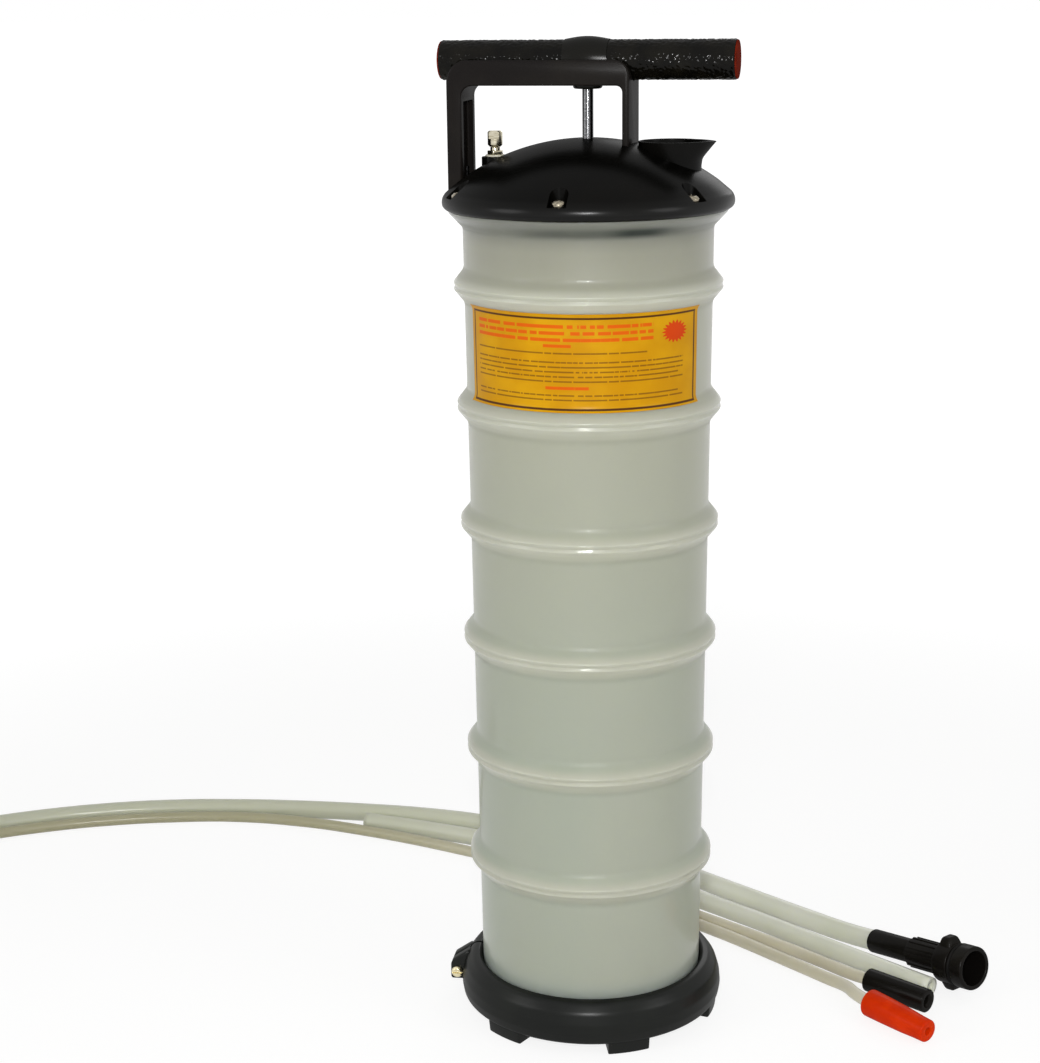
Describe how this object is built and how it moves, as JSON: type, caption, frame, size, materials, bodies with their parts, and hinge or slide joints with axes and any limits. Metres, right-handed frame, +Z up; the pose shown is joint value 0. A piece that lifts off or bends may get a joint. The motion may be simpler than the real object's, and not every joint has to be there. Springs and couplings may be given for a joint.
{
  "type": "hand vacuum fluid extractor",
  "caption": "Hand vacuum fluid extractor: ribbed translucent tank on a foot ring, domed lid with pour spout, vent valve, carry handle and T-handle pump, with loose hoses beside it.",
  "frame": {"origin": "on the floor, at the centre of the tank's footprint", "axes": "+Z up along the tank, front of the tank towards -Y, hose fittings towards +X"},
  "size_m": [0.8341, 0.3935, 0.5993],
  "materials": {
    "tank_plastic": "translucent natural polyethylene, satin",
    "label_film": "printed film",
    "black_plastic": "moulded, satin",
    "grip_plastic": "pebbled, glossy",
    "red_plug": "moulded, glossy",
    "red_plastic": "moulded, satin",
    "hose_plastic": "translucent flexible vinyl",
    "black_rubber": "moulded",
    "steel": "drawn",
    "brass": "turned",
    "plated_brass": "nickel plated, polished",
    "white_nylon": "moulded",
    "felt": "pressed felt",
    "float_plastic": "hollow moulding"
  },
  "bodies": {
    "extractor": {"tank": "tank_plastic", "tank_label": "label_film", "base_ring": "black_plastic", "ring_clamp_screw": "brass", "lid": "black_plastic", "lid_gasket": "black_rubber", "lid_screws": "plated_brass", "carry_handle": "black_plastic", "handle_screws": "steel", "rod_bush": "black_plastic", "rod_wiper": "felt", "pump_cylinder": "tank_plastic", "cylinder_cap": "black_plastic", "intake_snorkel": "tank_plastic", "float_cage": "black_plastic", "vent_body": "plated_brass", "vent_washer": "white_nylon", "connector_sleeve": "black_plastic", "connector_body": "black_plastic", "connector_oring": "black_rubber", "adapter_sleeve": "black_plastic", "red_nozzle": "red_plastic", "suction_hose": "hose_plastic", "wide_tube": "hose_plastic", "slim_tube": "hose_plastic", "short_tube": "hose_plastic"},
    "pump": {"pump_rod": "steel", "piston": "black_plastic", "piston_cup": "black_rubber", "piston_washer": "steel", "piston_nuts": "steel", "handle_hub": "grip_plastic", "handle_tube": "grip_plastic", "handle_pin": "steel", "handle_plug_left": "red_plug", "handle_plug_right": "red_plug"},
    "vent": {"vent_knob": "plated_brass"},
    "intake": {"intake_valve": "black_rubber"},
    "float": {"float_ball": "float_plastic"}
  },
  "joints": [
    {"name": "pump_stroke", "type": "slide", "parent": "extractor", "child": "pump", "axis": [0, 0, 1], "range_m": [0, 0.32]},
    {"name": "vent_turn", "type": "hinge", "parent": "extractor", "child": "vent", "pos_m": [-0.05419, 0.01152, 0.541], "axis": [0, 0, 1], "range_deg": [0, 90]},
    {"name": "intake_lift", "type": "slide", "parent": "extractor", "child": "intake", "axis": [0, 0, 1], "range_m": [0, 0.002]},
    {"name": "float_rise", "type": "slide", "parent": "extractor", "child": "float", "axis": [0, 0, 1], "range_m": [0, 0.013]}
  ]
}
